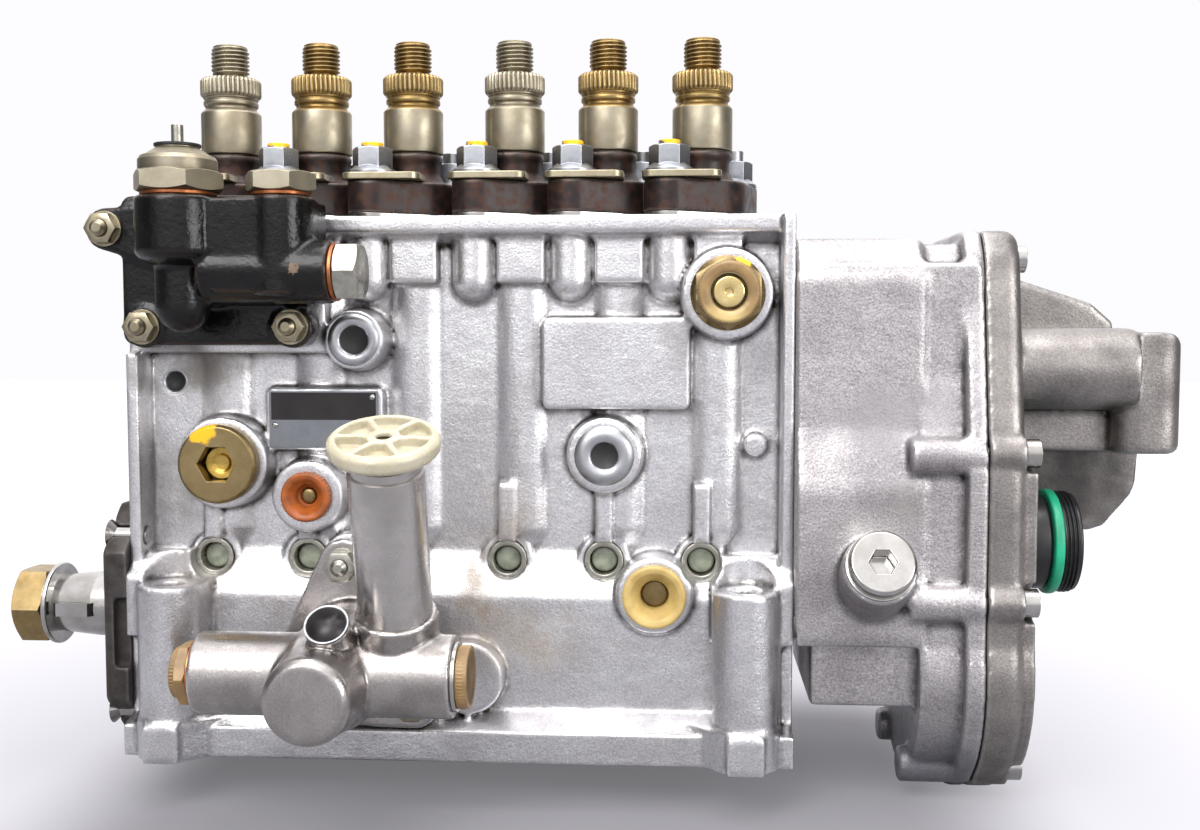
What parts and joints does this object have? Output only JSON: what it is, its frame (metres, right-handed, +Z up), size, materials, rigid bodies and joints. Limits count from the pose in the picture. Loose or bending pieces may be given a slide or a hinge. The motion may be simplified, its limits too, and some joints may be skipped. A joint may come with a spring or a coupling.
{
  "type": "diesel injection pump",
  "caption": "Inline diesel injection pump with a camshaft drive, delivery valve holders, a feed pump with hand primer, a shut-off block and an electronic rack actuator.",
  "frame": {"origin": "middle of the four base bolts, on the underside of the feet", "axes": "+X along the camshaft from the drive end to the governor end, -Y is the side with the feed pump, +Z up"},
  "size_m": [0.4342, 0.1671, 0.2757],
  "materials": {
    "cast_aluminium": "as cast, sandy",
    "grey_cast_aluminium": "as cast, grainy",
    "bright_steel": "ground",
    "soft_iron": "turned",
    "silver_zinc": "zinc plated",
    "gold_zinc": "yellow zinc plated",
    "dark_phosphate": "phosphated, stained",
    "cast_iron": "rough cast",
    "rubber": "moulded",
    "green_rubber": "moulded",
    "copper": "plain copper",
    "glassy_sealant": "glossy",
    "bronze": "dull bronze",
    "orange_plastic": "moulded",
    "tan_plastic": "moulded",
    "ivory_plastic": "moulded",
    "black_paint": "gloss, chipped",
    "olive_zinc": "olive zinc plated",
    "black_plastic": "moulded"
  },
  "bodies": {
    "pump": {"pump_housing": "cast_aluminium", "bottom_cover": "bright_steel", "housing_screws": "bright_steel", "drive_flange": "cast_iron", "bearing_cups": "bright_steel", "shaft_seal": "rubber", "barrels": "bright_steel", "roller_tappets": "bright_steel", "plunger_springs": "bright_steel", "delivery_valves": "bright_steel", "barrel_flanges": "dark_phosphate", "flange_shims": "bright_steel", "flange_saddles": "gold_zinc", "flange_nuts": "silver_zinc", "flange_studs": "silver_zinc", "actuator_coil": "copper", "guide_bushes": "gold_zinc", "guide_pins": "glassy_sealant", "gallery_plug": "bronze", "orange_port_cap": "orange_plastic", "drain_port_cap": "tan_plastic", "overflow_valve": "gold_zinc", "feed_pump_body": "cast_aluminium", "feed_pump_plugs": "bronze", "feed_piston": "bright_steel", "stud_nuts": "gold_zinc", "primer_barrel": "silver_zinc", "shutoff_block": "black_paint", "shutoff_solenoid": "olive_zinc", "shutoff_plugs": "black_paint", "copper_washers": "copper", "governor_housing": "grey_cast_aluminium", "governor_cover": "grey_cast_aluminium", "cover_screws": "bright_steel", "connector": "black_plastic", "connector_oring": "green_rubber", "governor_plug": "silver_zinc", "delivery_holder_1": "gold_zinc", "delivery_holder_2": "gold_zinc", "delivery_holder_3": "gold_zinc", "delivery_holder_4": "gold_zinc", "delivery_holder_5": "gold_zinc", "delivery_holder_6": "gold_zinc"},
    "camshaft": {"camshaft": "bright_steel", "speed_wheel": "bright_steel", "drive_key": "bright_steel", "drive_washer": "bright_steel", "drive_nut": "gold_zinc", "bearing_cones": "bright_steel"},
    "rack": {"control_rack": "bright_steel", "rack_armature": "soft_iron"},
    "sleeve_1": {"plunger_sleeve_1": "bright_steel"},
    "sleeve_2": {"plunger_sleeve_2": "bright_steel"},
    "sleeve_3": {"plunger_sleeve_3": "bright_steel"},
    "sleeve_4": {"plunger_sleeve_4": "bright_steel"},
    "sleeve_5": {"plunger_sleeve_5": "bright_steel"},
    "sleeve_6": {"plunger_sleeve_6": "bright_steel"},
    "primer_rod": {"primer_piston": "bright_steel"},
    "primer_knob": {"primer_knob": "ivory_plastic"},
    "shutoff_core": {"shutoff_plunger": "bright_steel"}
  },
  "joints": [
    {"name": "camshaft_spin", "type": "hinge", "parent": "pump", "child": "camshaft", "pos_m": [0, 0, 0.0452], "axis": [1, 0, 0], "continuous": true},
    {"name": "rack_slide", "type": "slide", "parent": "pump", "child": "rack", "axis": [1, 0, 0], "range_m": [0, 0.021], "stiffness_N_per_m": 150, "springref_m": -0.02},
    {"name": "sleeve_turn_1", "type": "hinge", "parent": "pump", "child": "sleeve_1", "pos_m": [-0.0915, 0, 0.12], "axis": [0, 0, 1], "range_deg": [-67, 0]},
    {"name": "sleeve_turn_2", "type": "hinge", "parent": "pump", "child": "sleeve_2", "pos_m": [-0.0565, 0, 0.12], "axis": [0, 0, 1], "range_deg": [-67, 0]},
    {"name": "sleeve_turn_3", "type": "hinge", "parent": "pump", "child": "sleeve_3", "pos_m": [-0.0215, 0, 0.12], "axis": [0, 0, 1], "range_deg": [-67, 0]},
    {"name": "sleeve_turn_4", "type": "hinge", "parent": "pump", "child": "sleeve_4", "pos_m": [0.017, 0, 0.12], "axis": [0, 0, 1], "range_deg": [-67, 0]},
    {"name": "sleeve_turn_5", "type": "hinge", "parent": "pump", "child": "sleeve_5", "pos_m": [0.052, 0, 0.12], "axis": [0, 0, 1], "range_deg": [-67, 0]},
    {"name": "sleeve_turn_6", "type": "hinge", "parent": "pump", "child": "sleeve_6", "pos_m": [0.087, 0, 0.12], "axis": [0, 0, 1], "range_deg": [-67, 0]},
    {"name": "primer_pull", "type": "slide", "parent": "pump", "child": "primer_rod", "axis": [0.0262, -0.3419, 0.9394], "range_m": [0, 0.028]},
    {"name": "primer_knob_turn", "type": "hinge", "parent": "primer_rod", "child": "primer_knob", "pos_m": [-0.013, -0.075, 0.06], "axis": [0.0262, -0.3419, 0.9394], "continuous": true},
    {"name": "shutoff_stroke", "type": "slide", "parent": "pump", "child": "shutoff_core", "axis": [0, 0, -1], "range_m": [0, 0.0025], "stiffness_N_per_m": 400, "springref_m": -0.004}
  ],
  "couplings": [
    {"joint": "sleeve_turn_1", "follows": "rack_slide", "rad_per_m": -55.556},
    {"joint": "sleeve_turn_2", "follows": "rack_slide", "rad_per_m": -55.556},
    {"joint": "sleeve_turn_3", "follows": "rack_slide", "rad_per_m": -55.556},
    {"joint": "sleeve_turn_4", "follows": "rack_slide", "rad_per_m": -55.556},
    {"joint": "sleeve_turn_5", "follows": "rack_slide", "rad_per_m": -55.556},
    {"joint": "sleeve_turn_6", "follows": "rack_slide", "rad_per_m": -55.556}
  ]
}
